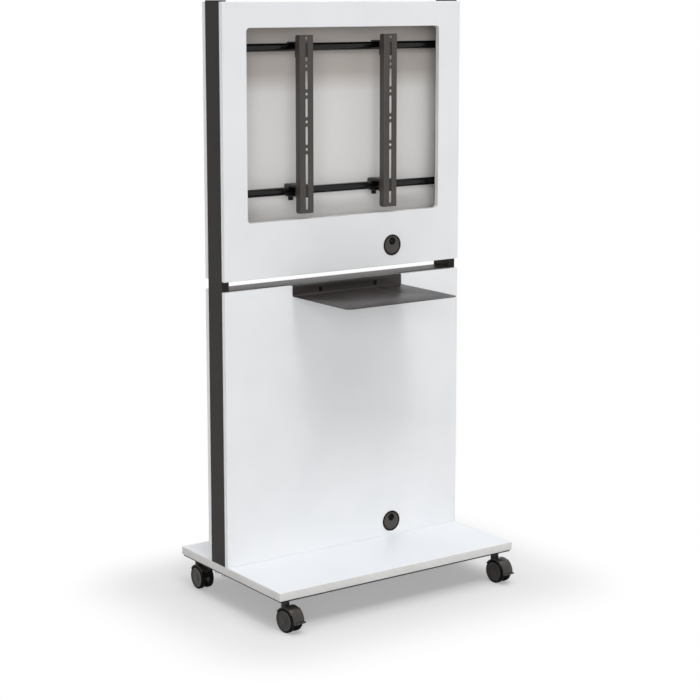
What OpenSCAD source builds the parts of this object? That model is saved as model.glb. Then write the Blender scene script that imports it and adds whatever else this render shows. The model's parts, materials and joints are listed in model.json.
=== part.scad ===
// Mobile display cart: two steel posts on a wheeled base board, clad with four white panels.
// The upper front panel has a window, where two slotted arms hang on two tubes and carry a flat display.
// A laptop shelf hangs on the lower front panel, and two cable grommets lead cables into the hollow column.
// Millimetres. +X is the cart's right side seen from the front, the front faces -Y and +Z is up.
// The origin is on the floor, in the middle of the cart's bounding box.

/* [Base] */
// Width of the base board, the posts and the panels
base_w = 900; // [860:10:1200]
// Depth of the base board
base_d = 580; // [560:10:700]
// Thickness of the base board
board_t = 25; // [22:1:40]
// Radius of the base board's corners
base_corner_r = 3; // [2.5:0.5:10]
// Thickness of the light grey edging round the base board
edging_t = 1.5; // [1:0.5:2]
// Thickness of the steel plate under the base board
plate_t = 5; // [4:1:8]
// How far the steel plate's edge lies inside the board's edge
plate_inset = 4; // [2:1:10]
// Depth of base board that shows behind the rear panels
rear_overhang = 171; // [150:1:190]

/* [Column] */
// Thickness of the panels
panel_t = 16; // [15:1:20]
// Rounding of the panels' long edges
panel_edge_r = 2; // [0.5:0.5:2]
// Height of the two lower panels
lower_panel_h = 866; // [780:1:950]
// Open gap between the lower and the upper panels
panel_gap = 32; // [25:1:60]
// Height of the two upper panels
upper_panel_h = 840; // [820:1:1000]
// Width of a post, along the cart's width
post_w = 25; // [20:1:40]
// Depth of a post, which sets the front and rear panels apart
post_d = 80; // [78:1:120]
// Wall of the posts and the rails
profile_wall = 2; // [1.5:0.5:3]
// Rounding of the posts' and rails' outer edges
profile_r = 1.5; // [1:0.5:2]
// How far the posts with their caps stand above the panels
post_proud = 4; // [3.5:0.5:8]
// Thickness of a post cap
cap_t = 3; // [2:0.5:3]
// Depth of the plug under a post cap
cap_plug_h = 12; // [6:1:20]
// Height of the cross rails between the posts
rail_h = 25; // [20:1:30]
// Distance of the top rail below the panels' top edge
top_rail_drop = 5; // [3:1:8]
// Height of the solid block in the foot of a post
foot_block_h = 30; // [20:1:50]

/* [Window] */
// Clear width of the window
window_w = 730; // [600:5:740]
// Clear height of the window
window_h = 588; // [580:1:600]
// Height of panel above the window
window_head = 78; // [74:1:90]
// Radius of the window's corners
window_r = 12; // [5:1:30]
// Thickness of the window's edging band
window_band_t = 1; // [0.5:0.5:2]

/* [Display tubes] */
// Outer diameter of the tubes
tube_d = 25; // [22:1:28]
// Wall of the tubes
tube_wall = 2; // [1:0.5:4]
// Height of the upper tube above the window's lower edge
upper_tube_rise = 527; // [515:1:530]
// Height of the lower tube above the window's lower edge
lower_tube_rise = 83; // [75:1:95]
// Outer diameter of the tube sockets on the posts
socket_d = 40; // [34:1:50]
// Length of a tube socket
socket_len = 8; // [5:1:20]

/* [Arms] */
// Width of an arm
arm_w = 50; // [48:1:60]
// Depth of an arm's side flanges
arm_d = 24; // [20:1:26]
// Length of an arm
arm_h = 547; // [540:1:555]
// Sheet thickness of an arm
arm_t = 2; // [1.5:0.5:3]
// Rounding of the flanges' rear corners
arm_corner_r = 8; // [4:1:9]
// How far the arms stand out in front of the panels
arm_proud = 10; // [6:1:16]
// Height of the arms' feet above the window's lower edge
arm_rise = 18; // [12:1:22]
// Place of the left arm's centre line along the width
left_arm_x = -155; // [-200:1:-120]
// Place of the right arm's centre line along the width
right_arm_x = 165; // [120:1:200]
// Number of round holes in an arm
arm_holes = 5; // [3:1:5]
// Distance between two round holes
arm_hole_pitch = 85; // [80:1:88]
// Diameter of the round holes
arm_hole_d = 9; // [6:0.5:10]
// Distance of the first hole below the arm's top
arm_hole_drop = 9.5; // [8:0.5:16]
// Width of the slots between the holes
arm_slot_w = 9; // [6:0.5:10]
// Distance from a hole's centre to the end of the next slot
arm_slot_gap = 14; // [12:1:18]
// Distance of the long slot's end above the arm's foot
arm_slot_foot = 11; // [8:1:20]

/* [Hooks] */
// Thickness of the strip that hooks over the upper tube
upper_hook_t = 4; // [3:0.5:6]
// How far an arm's hook brackets stand out behind its flanges
hook_base_reach = 7; // [4:1:8]
// How far the upper hook's rear lip comes down below the tube's centre
hook_lip = 6; // [3:1:10]
// Height of the upper hook's bracket below the tube's centre
upper_hook_foot = 30; // [20:1:36]
// Thickness of the lower hook above the tube
lower_hook_top_t = 9; // [5:1:12]
// Thickness of the lower hook behind the tube
lower_hook_rear_t = 14; // [8:1:16]
// Thickness of the lower hook's tab under the tube
lower_hook_tab_t = 4; // [3:0.5:6]
// Rounding of the lower hook's corners
lower_hook_r = 6; // [2:0.5:8]
// Length of the lower hook's tab in front of the tube's centre
lower_hook_tab_len = 13; // [8:1:14]
// Gap between a tube and the hooks on it
hook_gap = 0.4; // [0.2:0.1:0.6]
// Diameter of a lock screw's thread
lock_screw_d = 6; // [4:1:6]
// Diameter of a lock screw's knob
lock_knob_d = 16; // [12:1:20]
// Height of a lock screw's knob
lock_knob_h = 11; // [8:1:16]
// Number of grip flutes round a lock knob
lock_flutes = 8; // [6:1:12]
// Diameter of a grip flute
lock_flute_d = 3; // [2:0.5:4]
// Distance of the lock screws from the arms' centre lines
lock_screw_offset = 17; // [12:1:17]

/* [Laptop shelf] */
// Width of the shelf
shelf_w = 420; // [360:5:520]
// Depth of the shelf in front of the lower panel
shelf_d = 300; // [240:5:340]
// Sheet thickness of the shelf
shelf_t = 2; // [1.5:0.5:2.5]
// Height of the panel's top edge above the shelf's plate
shelf_drop = 32; // [30:1:60]
// Inner radius of the shelf's bends
shelf_bend_r = 3; // [2:0.5:3.5]
// Radius of the shelf's front corners
shelf_corner_r = 20; // [5:1:40]
// Place of the shelf's centre along the width
shelf_x = 5; // [-100:1:100]
// Distance between the two slots in the shelf
shelf_slot_spacing = 212; // [160:1:240]
// Width of the slots in the shelf's upstand
shelf_slot_w = 13; // [8:1:20]
// Height of the slots in the shelf's upstand
shelf_slot_h = 15; // [10:1:16]
// Height of the slots' lower edge above the plate
shelf_slot_rise = 6; // [5:0.5:7]
// Width of the slits in the shelf's plate
shelf_slit_w = 2; // [1:0.5:3]
// Length of the slits in the shelf's plate
shelf_slit_len = 165; // [80:5:190]
// Diameter of the shelf screws' shanks
shelf_screw_d = 4; // [3:0.5:4]
// Diameter of the shelf screws' heads
shelf_screw_head_d = 8.5; // [7.5:0.5:9.5]
// Length of the shelf screws
shelf_screw_len = 30; // [20:1:45]
// Distance of the inner shelf screws from the shelf's centre
shelf_screw_inner = 60; // [30:1:90]
// Distance of the outer shelf screws from the shelf's ends
shelf_screw_end = 14; // [10:1:30]

/* [Cable grommets] */
// Place of the grommets' centres along the width
grommet_x = 180; // [100:1:250]
// Height of the upper grommet above the upper panel's foot
upper_grommet_rise = 66; // [50:1:80]
// Height of the lower grommet above the base board
lower_grommet_rise = 47; // [40:1:120]
// Diameter of the hole in the panel
grommet_hole_d = 60; // [58:1:64]
// Diameter of a grommet's flange
grommet_flange_d = 68; // [67:1:72]
// Thickness of a grommet's flange
grommet_flange_t = 2; // [1.5:0.5:3]
// Wall of a grommet's sleeve
grommet_wall = 1.3; // [1:0.1:2]
// Width of the ledge that carries the cap
grommet_ledge = 1.5; // [1:0.1:2]
// Thickness of a cap
grommet_cap_t = 2.5; // [2:0.5:3]
// Diameter of the cable hole in a cap
cable_hole_d = 25; // [20:1:26]
// Distance of the cable hole from the cap's centre
cable_hole_offset = 12.5; // [8:0.5:12.5]
// Gap round a cap that turns in its grommet
grommet_cap_gap = 0.3; // [0.2:0.1:0.5]

/* [Castors] */
// Height from the floor to the steel plate
castor_h = 100; // [98:1:125]
// Diameter of the wheels
wheel_d = 75; // [72:1:78]
// Width over both wheels of a castor
castor_w = 46; // [42:1:60]
// Gap between the two wheels of a castor
wheel_gap = 12; // [12:1:16]
// Distance of the axle in front of the swivel axis
castor_offset = 19; // [16:1:22]
// Distance of the swivel axes from the base's sides
castor_side_inset = 42; // [38:1:80]
// Distance of the swivel axes from the base's front and rear edges
castor_end_inset = 37; // [34:1:80]
// How far the front left castor is turned to the left, in degrees
front_left_turn = 8; // [0:1:20]
// How far the front right castor is turned to the left, in degrees
front_right_turn = 5; // [0:1:20]
// Diameter of the swivel neck
neck_d = 26; // [22:1:28]
// Diameter of the fixed collar above the neck
collar_d = 20; // [18:1:22]
// Height of the fixed collar above the neck
collar_h = 5; // [3:1:7]
// Diameter of the swivel pin
swivel_pin_d = 10; // [8:1:12]
// Diameter of the stud that screws up into the base
stud_d = 10; // [8:1:12]
// Length of the stud above the steel plate's underside
stud_len = 22; // [15:1:22]
// Diameter of the axle
axle_d = 8; // [6:1:10]
// Diameter of the bosses round the axle
boss_d = 16; // [14:1:20]
// Thickness of a wheel's rim under the tread
rim_t = 4; // [3:0.5:6]
// Thickness of a wheel's rubber tread
tread_t = 3; // [3:0.5:5]
// Rounding of the treads' edges
tread_r = 2.5; // [1:0.5:2.5]
// Depth of the dish in a wheel's outer face
wheel_dish = 1.5; // [0.5:0.5:2]
// Thickness of a wheel's closed outer face
wheel_face_t = 3.5; // [3:0.5:5]
// Width of the hood and of the brake pedal
hood_w = 42; // [36:1:42]
// Gap between the treads and the hood
hood_gap = 1; // [0.5:0.5:1.5]
// Thickness of the hood and of the brake pedal's shell
hood_t = 2.5; // [2:0.5:3]
// Angle of the hood's front edge above the axle
hood_front_angle = 38; // [30:1:50]
// Angle of the hood's rear edge above the axle, on the other side
hood_rear_angle = 30; // [24:1:36]
// Gap between the brake pedal's shell and the hood
pedal_gap = 0.5; // [0.3:0.1:1]
// Angle of the brake pedal's upper edge above the axle
pedal_top_angle = 62; // [56:1:68]
// How far the brake pedal's tab stands out from its shell
pedal_tab_len = 7; // [5:1:12]
// Thickness of the brake pedal's tab
pedal_tab_t = 4; // [3.5:0.5:6]
// Height of the tab's lower face below the axle
pedal_tab_drop = 3; // [1.5:0.5:3]
// Thickness of the brake pedal's middle web
pedal_web_t = 4; // [3:0.5:4]

/* [Fasteners] */
// Leg length of the angle brackets behind the panels
bracket_leg = 20; // [14:1:24]
// Height of an angle bracket
bracket_h = 30; // [20:1:30]
// Sheet thickness of an angle bracket
bracket_t = 2; // [1.5:0.5:3]
// Height of the lowest brackets above the lower panels' foot
bracket_low = 70; // [60:1:150]
// Diameter of the foot bolts
foot_bolt_d = 8; // [6:1:10]
// Diameter of the foot bolts' heads
foot_bolt_head_d = 14; // [13:1:18]
// Height of the foot bolts' heads
foot_bolt_head_h = 5; // [4:1:8]
// Distance between the two foot bolts of a post
foot_bolt_spacing = 44; // [30:1:50]
// Running clearance of a shaft in its bore
running_gap = 0.05; // [0.02:0.01:0.1]
// Clearance between parts that turn or slide past each other
turn_gap = 0.3; // [0.2:0.1:0.6]

/* [Hidden] */
$fn = 64;
// Overrun of every cut past the face that it opens
over = 1;

panel_white = [0.93, 0.935, 0.94];
edge_grey = [0.82, 0.82, 0.81];
anthracite = [0.25, 0.24, 0.23];
arm_taupe = [0.33, 0.31, 0.3];
gloss_black = [0.06, 0.06, 0.06];
castor_black = [0.1, 0.1, 0.1];
castor_taupe = [0.28, 0.26, 0.25];
plain_steel = [0.72, 0.72, 0.72];

// Heights of the base's layers
plate_z = castor_h;
board_z = plate_z + plate_t;
floor_of_column = board_z + board_t;
upper_panel_z = floor_of_column + lower_panel_h + panel_gap;
panel_top_z = upper_panel_z + upper_panel_h;
post_h = panel_top_z + post_proud - cap_t - floor_of_column;

// Reach of the brake pedal in front of a castor's swivel axis, which sets the cart's front
wheel_r = wheel_d / 2;
hood_r = wheel_r + hood_gap + hood_t;
pedal_inner_r = hood_r + pedal_gap;
pedal_outer_r = pedal_inner_r + hood_t;
pedal_reach = castor_offset + pedal_outer_r + pedal_tab_len;
function turned_reach(turn) = pedal_reach * cos(turn) + hood_w / 2 * abs(sin(turn));
front_reach = max(turned_reach(front_left_turn), turned_reach(front_right_turn)) - castor_end_inset;

// Places along the depth
base_rear_y = (base_d + max(front_reach, 0)) / 2;
base_front_y = base_rear_y - base_d;
base_mid_y = (base_rear_y + base_front_y) / 2;
rear_face_y = base_rear_y - rear_overhang;
rear_panel_y = rear_face_y - panel_t;
post_mid_y = rear_panel_y - post_d / 2;
panel_y = rear_panel_y - post_d - panel_t;

// Cross rails
rail_len = base_w - 2 * post_w;
gap_rail_top = floor_of_column + lower_panel_h + shelf_t;

// Window and what hangs in it
window_z = panel_top_z - window_head - window_h;
upper_tube_z = window_z + upper_tube_rise;
lower_tube_z = window_z + lower_tube_rise;
arm_y = panel_y - arm_proud;
arm_z = window_z + arm_rise;
tube_r = tube_d / 2;
hook_r = tube_r + hook_gap;
hook_w = arm_w - 2 * arm_t;
hook_front = post_mid_y - arm_y - arm_t;
hook_base_d = arm_d - arm_t + hook_base_reach;
arm_slot_len = arm_hole_pitch - 2 * arm_slot_gap;
arm_first_hole_z = arm_h - arm_hole_drop;
arm_last_hole_z = arm_first_hole_z - (arm_holes - 1) * arm_hole_pitch;

// Grommets
sleeve_r = grommet_hole_d / 2 - turn_gap;
grommet_bore_r = sleeve_r - grommet_wall;
grommet_cap_r = grommet_bore_r - grommet_cap_gap;

// Shelf, measured from the lower panel's front face and its top edge, on which the flange rests
shelf_flange_z = floor_of_column + lower_panel_h;
shelf_back = panel_edge_r - shelf_bend_r;
shelf_plate_rear = shelf_back - shelf_t - shelf_bend_r;
shelf_plate_d = shelf_plate_rear + shelf_d;

// Castors
castor_x = base_w / 2 - castor_side_inset;
front_castor_y = base_front_y + castor_end_inset;
rear_castor_y = base_rear_y - castor_end_inset;
axle_z = wheel_r;
neck_top_z = castor_h - collar_h - turn_gap;
hood_inner_r = wheel_r + hood_gap;
neck_foot_z = axle_z + hood_r * sin(hood_rear_angle);
swivel_pin_foot_z = axle_z + hood_inner_r;
rim_r = wheel_r - tread_t;
boss_r = boss_d / 2;
web_slot_w = pedal_web_t + 2 * turn_gap;
cheek_t = wheel_gap / 2 - hood_gap - web_slot_w / 2;
axle_len = castor_w - 2 * (wheel_face_t + turn_gap);

// Brackets, at two heights on the lower panels and two on the upper ones
bracket_top_z = floor_of_column + lower_panel_h - bracket_low - bracket_h;
bracket_zs = [
    floor_of_column + bracket_low,
    bracket_top_z,
    upper_panel_z + bracket_h,
    panel_top_z - window_head + (window_head - top_rail_drop - rail_h - bracket_h) / 2
];

// A flat shape drawn in width and height, made deep: it reaches from y = 0 to y = depth
module along_y(depth) {
    translate([0, depth, 0])
        rotate([90, 0, 0])
            linear_extrude(depth)
                children();
}

// A flat shape drawn in depth and height, made wide: it reaches from x = 0 to x = width
module along_x(width) {
    rotate([90, 0, 90])
        linear_extrude(width)
            children();
}

// A flat shape drawn in depth and height, made wide to both sides of x = 0
module across_x(width) {
    translate([-width / 2, 0, 0])
        along_x(width)
            children();
}

// Rectangle round the origin, with true arcs at its corners
module rounded_rect(w, h, r) {
    square([w - 2 * r, h], center = true);
    square([w, h - 2 * r], center = true);
    for (x = [-1, 1], y = [-1, 1])
        translate([x * (w / 2 - r), y * (h / 2 - r)])
            circle(r);
}

// Upright slot round the origin
module slot_shape(w, h) {
    square([w, h - w], center = true);
    for (s = [-1, 1])
        translate([0, s * (h - w) / 2])
            circle(w / 2);
}

// Hollow section round the origin
module profile_shape(w, h) {
    difference() {
        rounded_rect(w, h, profile_r);
        square([w - 2 * profile_wall, h - 2 * profile_wall], center = true);
    }
}

// A panel of the column: its outer or inner face is on y = 0, its foot on z = 0
module panel(h) {
    translate([0, panel_t / 2, h / 2])
        across_x(base_w)
            rounded_rect(panel_t, h, panel_edge_r);
}

// Places of the four castors
module at_castor_studs() {
    for (x = [-castor_x, castor_x], y = [front_castor_y, rear_castor_y])
        translate([x, y, 0])
            children();
}

// Places of the four foot bolts
module at_foot_bolts() {
    for (s = [-1, 1], t = [-1, 1])
        translate([s * (base_w - post_w) / 2, post_mid_y + t * foot_bolt_spacing / 2, 0])
            children();
}

module base_board() {
    color(panel_white)
        difference() {
            translate([0, base_mid_y, board_z])
                linear_extrude(board_t)
                    rounded_rect(base_w - 2 * edging_t, base_d - 2 * edging_t, base_corner_r - edging_t);
            at_castor_studs()
                translate([0, 0, board_z - over])
                    cylinder(d = stud_d + 2 * turn_gap, h = stud_len - plate_t + 2 * over);
            at_foot_bolts()
                translate([0, 0, board_z - over])
                    cylinder(d = foot_bolt_d + 2 * turn_gap, h = board_t + 2 * over);
        }
}

module base_edging() {
    color(edge_grey)
        translate([0, base_mid_y, board_z])
            linear_extrude(board_t)
                difference() {
                    rounded_rect(base_w, base_d, base_corner_r);
                    rounded_rect(base_w - 2 * edging_t, base_d - 2 * edging_t, base_corner_r - edging_t);
                }
}

module base_plate() {
    color(gloss_black)
        difference() {
            translate([0, base_mid_y, plate_z])
                linear_extrude(plate_t)
                    rounded_rect(base_w - 2 * plate_inset, base_d - 2 * plate_inset, base_corner_r);
            at_castor_studs()
                translate([0, 0, plate_z - over])
                    cylinder(d = stud_d, h = plate_t + 2 * over);
            at_foot_bolts()
                translate([0, 0, plate_z - over])
                    cylinder(d = foot_bolt_d + 2 * turn_gap, h = plate_t + 2 * over);
        }
}

// A post: a hollow section on the base, with a solid block in its foot that takes the foot bolts
module post(side) {
    color(anthracite)
        difference() {
            translate([side * (base_w - post_w) / 2, post_mid_y, floor_of_column]) {
                linear_extrude(post_h)
                    profile_shape(post_w, post_d);
                linear_extrude(foot_block_h)
                    square([post_w - 2 * profile_wall, post_d - 2 * profile_wall], center = true);
            }
            at_foot_bolts()
                translate([0, 0, floor_of_column - over])
                    cylinder(d = foot_bolt_d, h = foot_block_h + 2 * over);
        }
}

module post_caps() {
    color(gloss_black)
        for (s = [-1, 1])
            translate([s * (base_w - post_w) / 2, post_mid_y, floor_of_column + post_h]) {
                linear_extrude(cap_t)
                    rounded_rect(post_w, post_d, profile_r);
                translate([0, 0, -cap_plug_h])
                    linear_extrude(cap_plug_h + cap_t / 2)
                        square([post_w - 2 * profile_wall, post_d - 2 * profile_wall], center = true);
            }
}

// A cross rail between the posts, with its upper face at height top
module cross_rail(top) {
    color(anthracite)
        translate([0, post_mid_y, top - rail_h / 2])
            across_x(rail_len)
                profile_shape(post_d, rail_h);
}

module grommet_hole(z) {
    translate([grommet_x, panel_y - over, z])
        along_y(panel_t + 2 * over)
            circle(d = grommet_hole_d);
}

// Places of the shelf's screws, on the flange's upper face
module at_shelf_screws() {
    outer = shelf_w / 2 - shelf_screw_end;
    for (s = [-1, 1], x = [shelf_screw_inner, outer])
        translate([shelf_x + s * x, panel_y + panel_t / 2, shelf_flange_z + shelf_t])
            children();
}

module front_lower_panel() {
    color(panel_white)
        difference() {
            translate([0, panel_y, floor_of_column])
                panel(lower_panel_h);
            grommet_hole(floor_of_column + lower_grommet_rise);
            at_shelf_screws()
                translate([0, 0, -shelf_screw_len])
                    cylinder(d = shelf_screw_d, h = shelf_screw_len + over);
        }
}

module front_upper_panel() {
    color(panel_white)
        difference() {
            translate([0, panel_y, upper_panel_z])
                panel(upper_panel_h);
            translate([0, panel_y - over, window_z + window_h / 2])
                along_y(panel_t + 2 * over)
                    rounded_rect(
                        window_w + 2 * window_band_t,
                        window_h + 2 * window_band_t,
                        window_r + window_band_t
                    );
            grommet_hole(upper_panel_z + upper_grommet_rise);
        }
}

module rear_lower_panel() {
    color(panel_white)
        translate([0, rear_panel_y, floor_of_column])
            panel(lower_panel_h);
}

module rear_upper_panel() {
    color(panel_white)
        translate([0, rear_panel_y, upper_panel_z])
            panel(upper_panel_h);
}

module window_edging() {
    color(edge_grey)
        translate([0, panel_y, window_z + window_h / 2])
            along_y(panel_t)
                difference() {
                    rounded_rect(
                        window_w + 2 * window_band_t,
                        window_h + 2 * window_band_t,
                        window_r + window_band_t
                    );
                    rounded_rect(window_w, window_h, window_r);
                }
}

// A display tube from post to post at height z
module display_tube(z) {
    color(gloss_black)
        translate([0, post_mid_y, z])
            across_x(rail_len)
                difference() {
                    circle(tube_r);
                    circle(tube_r - tube_wall);
                }
}

module tube_sockets() {
    color(gloss_black)
        for (s = [-1, 1], z = [upper_tube_z, lower_tube_z])
            translate([s * (rail_len - socket_len) / 2, post_mid_y, z])
                across_x(socket_len)
                    difference() {
                        circle(d = socket_d);
                        circle(tube_r);
                    }
}

// An arm round its centre line: its front face is on y = 0 and its foot on z = 0
module arm_shape() {
    difference() {
        union() {
            translate([-arm_w / 2, 0, 0])
                cube([arm_w, arm_t, arm_h]);
            for (x = [-arm_w / 2, arm_w / 2 - arm_t])
                translate([x, arm_d / 2, arm_h / 2])
                    along_x(arm_t) {
                        rounded_rect(arm_d, arm_h, arm_corner_r);
                        translate([-arm_d / 2, -arm_h / 2])
                            square([arm_d / 2, arm_h]);
                    }
        }
        translate([0, -over, 0])
            along_y(arm_t + 2 * over)
                arm_openings();
    }
}

// The round holes of an arm, the slots between them and the long slot at its foot
module arm_openings() {
    long_slot_top = arm_last_hole_z - arm_slot_gap;
    for (i = [0 : arm_holes - 1])
        translate([0, arm_first_hole_z - i * arm_hole_pitch])
            circle(d = arm_hole_d);
    for (i = [0 : arm_holes - 2])
        translate([0, arm_first_hole_z - (i + 1 / 2) * arm_hole_pitch])
            slot_shape(arm_slot_w, arm_slot_len);
    translate([0, (long_slot_top + arm_slot_foot) / 2])
        slot_shape(arm_slot_w, long_slot_top - arm_slot_foot);
}

module arm(x) {
    color(arm_taupe)
        translate([x, arm_y, arm_z])
            arm_shape();
}

// Side view of the upper hook round the tube's centre: a bracket, a strip over the tube and a lip
module upper_hook_shape() {
    strip_r = hook_r + upper_hook_t;
    translate([-hook_front, -upper_hook_foot])
        square([hook_base_d, upper_hook_foot + strip_r]);
    translate([-hook_front, hook_r])
        square([hook_front, upper_hook_t]);
    difference() {
        circle(strip_r);
        circle(hook_r);
        translate([-strip_r - over, -strip_r - over])
            square([strip_r + over, 2 * (strip_r + over)]);
        translate([-strip_r, -strip_r - over])
            square([2 * strip_r + over, strip_r - hook_lip + over]);
    }
}

// Side view of the lower hook round the tube's centre: a block with a notch that opens to the front
module lower_hook_shape() {
    top = hook_r + lower_hook_top_t;
    foot = hook_r + lower_hook_tab_t;
    rear = hook_r + lower_hook_rear_t;
    notch_front = hook_front - hook_base_d;
    difference() {
        translate([(rear - hook_front) / 2, (top - foot) / 2])
            rounded_rect(rear + hook_front, top + foot, lower_hook_r);
        circle(hook_r);
        translate([-notch_front, -hook_r])
            square([notch_front, 2 * hook_r]);
        translate([-notch_front, -foot - over])
            square([notch_front - lower_hook_tab_len, foot + over]);
    }
}

module arm_hooks(x) {
    color(gloss_black) {
        translate([x, post_mid_y, upper_tube_z])
            across_x(hook_w)
                upper_hook_shape();
        difference() {
            translate([x, post_mid_y, lower_tube_z])
                across_x(hook_w)
                    lower_hook_shape();
            translate([x - lock_screw_offset, post_mid_y, lower_tube_z - hook_r - lower_hook_tab_t - over])
                cylinder(d = lock_screw_d, h = lower_hook_tab_t + 2 * over);
        }
    }
}

// Lock screw of an arm: its tip lies under the tube, its fluted knob under the lower hook's tab
module lock_screw(x) {
    knob_top = -hook_r - lower_hook_tab_t - turn_gap;
    color(castor_black)
        translate([x - lock_screw_offset, post_mid_y, lower_tube_z]) {
            translate([0, 0, knob_top - over])
                cylinder(d = lock_screw_d - 2 * running_gap, h = -tube_r - turn_gap - knob_top + over);
            translate([0, 0, knob_top - lock_knob_h])
                difference() {
                    cylinder(d = lock_knob_d, h = lock_knob_h);
                    for (i = [0 : lock_flutes - 1])
                        rotate([0, 0, i * 360 / lock_flutes])
                            translate([lock_knob_d / 2, 0, -over])
                                cylinder(d = lock_flute_d, h = lock_knob_h + 2 * over);
                }
        }
}

// Quarter of a bend round the origin, between two directions that point along sx and sy
module bend_shape(inner_r, sx, sy) {
    outer_r = inner_r + shelf_t;
    intersection() {
        difference() {
            circle(outer_r);
            circle(inner_r);
        }
        translate([sx < 0 ? -outer_r : 0, sy < 0 ? -outer_r : 0])
            square([outer_r, outer_r]);
    }
}

// Side view of the shelf's sheet, from the flange on the panel's edge down to the start of the plate
module shelf_side_shape() {
    flange_start = shelf_back + shelf_bend_r;
    upstand_foot = shelf_bend_r - shelf_drop;
    translate([flange_start, 0])
        square([panel_t - turn_gap - flange_start, shelf_t]);
    translate([flange_start, -shelf_bend_r])
        bend_shape(shelf_bend_r, -1, 1);
    translate([shelf_back - shelf_t, upstand_foot])
        square([shelf_t, -shelf_bend_r - upstand_foot]);
    translate([shelf_plate_rear, upstand_foot])
        bend_shape(shelf_bend_r, 1, -1);
}

// The shelf's sheet without its holes, drawn from the top edge of the panel's front face
module shelf_sheet() {
    across_x(shelf_w)
        shelf_side_shape();
    translate([0, shelf_plate_d / 2 - shelf_d, -shelf_drop - shelf_t])
        linear_extrude(shelf_t) {
            rounded_rect(shelf_w, shelf_plate_d, shelf_corner_r);
            translate([-shelf_w / 2, 0])
                square([shelf_w, shelf_plate_d / 2]);
        }
}

// The two slots in the shelf's upstand and the two slits in its plate
module shelf_cuts() {
    for (s = [-1, 1])
        translate([s * shelf_slot_spacing / 2, 0, -shelf_drop]) {
            translate([-shelf_slot_w / 2, shelf_back - shelf_t - over, shelf_slot_rise])
                cube([shelf_slot_w, shelf_t + 2 * over, shelf_slot_h]);
            translate([-shelf_slit_w / 2, shelf_plate_rear - shelf_slit_len, -shelf_t - over])
                cube([shelf_slit_w, shelf_slit_len, shelf_t + 2 * over]);
        }
}

module laptop_shelf() {
    color(anthracite)
        difference() {
            translate([shelf_x, panel_y, shelf_flange_z])
                difference() {
                    shelf_sheet();
                    shelf_cuts();
                }
            at_shelf_screws()
                translate([0, 0, -shelf_t - over]) {
                    cylinder(d = shelf_screw_d, h = shelf_t + 2 * over);
                    translate([0, 0, over])
                        cylinder(d1 = shelf_screw_d, d2 = shelf_screw_head_d, h = shelf_t);
                }
        }
}

module shelf_screws() {
    color(gloss_black)
        at_shelf_screws() {
            translate([0, 0, -shelf_screw_len])
                cylinder(d = shelf_screw_d, h = shelf_screw_len);
            translate([0, 0, -shelf_t])
                cylinder(d1 = shelf_screw_d, d2 = shelf_screw_head_d, h = shelf_t);
        }
}

// Turned shape round the Y axis, drawn as radius and depth
module turned_y() {
    rotate([-90, 0, 0])
        rotate_extrude()
            children();
}

// Grommet ring: a rounded flange on the panel, a sleeve through it and a ledge for the cap
module grommet(z) {
    flange_r = grommet_flange_d / 2;
    soft = grommet_flange_t / 2;
    color(gloss_black)
        translate([grommet_x, panel_y, z])
            turned_y() {
                translate([grommet_bore_r, -grommet_flange_t])
                    square([flange_r - soft - grommet_bore_r, grommet_flange_t]);
                translate([flange_r - soft, -soft])
                    circle(soft);
                translate([grommet_bore_r, 0])
                    square([grommet_wall, panel_t + soft]);
                translate([grommet_bore_r - grommet_ledge, soft])
                    square([grommet_ledge + grommet_wall / 2, grommet_flange_t]);
            }
}

// Grommet cap: a disc in the mouth of the grommet, with one cable hole out of its centre
module grommet_cap(z) {
    soft = grommet_flange_t / 2;
    cap_y = soft - turn_gap - grommet_cap_t;
    color(castor_taupe)
        translate([grommet_x, panel_y, z])
            difference() {
                translate([0, cap_y, 0])
                    along_y(grommet_cap_t)
                        circle(grommet_cap_r);
                translate([0, cap_y - over, cable_hole_offset])
                    along_y(grommet_cap_t + 2 * over)
                        circle(d = cable_hole_d);
            }
}

// Angle brackets in the corners between the posts and the four panels
module panel_brackets() {
    color(plain_steel)
        for (s = [-1, 1], front = [0, 1], z = bracket_zs)
            translate([s * rail_len / 2, front == 1 ? panel_y + panel_t : rear_panel_y, z])
                mirror([s > 0 ? 1 : 0, 0, 0])
                    mirror([0, 1 - front, 0]) {
                        cube([bracket_t, bracket_leg, bracket_h]);
                        cube([bracket_leg, bracket_t, bracket_h]);
                    }
}

module foot_bolts() {
    color(plain_steel)
        at_foot_bolts() {
            translate([0, 0, plate_z - foot_bolt_head_h])
                cylinder(d = foot_bolt_head_d, h = foot_bolt_head_h);
            translate([0, 0, plate_z - foot_bolt_head_h / 2])
                cylinder(d = foot_bolt_d, h = foot_bolt_head_h / 2 + plate_t + board_t + foot_block_h / 2);
        }
}

// A castor's pieces are drawn round its swivel axis, with the floor on z = 0 and its front to -Y.

// Stem: a stud in the base, a collar under it and the pin that the castor swivels on
module castor_stem() {
    pin_foot = swivel_pin_foot_z + turn_gap;
    color(castor_black) {
        translate([0, 0, castor_h - collar_h])
            cylinder(d = collar_d, h = collar_h);
        translate([0, 0, castor_h - collar_h / 2])
            cylinder(d = stud_d, h = collar_h / 2 + stud_len);
        translate([0, 0, pin_foot])
            cylinder(d = swivel_pin_d, h = castor_h - collar_h / 2 - pin_foot);
    }
}

// Wedge from the axle in side view, between two angles that count up from the front horizon
module wedge_shape(low, high, r) {
    turn = (high - low) / 3;
    polygon(concat(
        [[0, 0]],
        [for (i = [0 : 3]) 2 * r * [-cos(low + i * turn), sin(low + i * turn)]]
    ));
}

// Part of a ring round the axle in side view, between two angles
module shell_shape(inner_r, outer_r, low, high) {
    intersection() {
        difference() {
            circle(outer_r);
            circle(inner_r);
        }
        wedge_shape(low, high, outer_r);
    }
}

// Round cut along the axle's line, right across the castor
module axle_cut(r) {
    translate([0, -castor_offset, axle_z])
        across_x(castor_w + 2 * over)
            circle(r);
}

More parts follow.
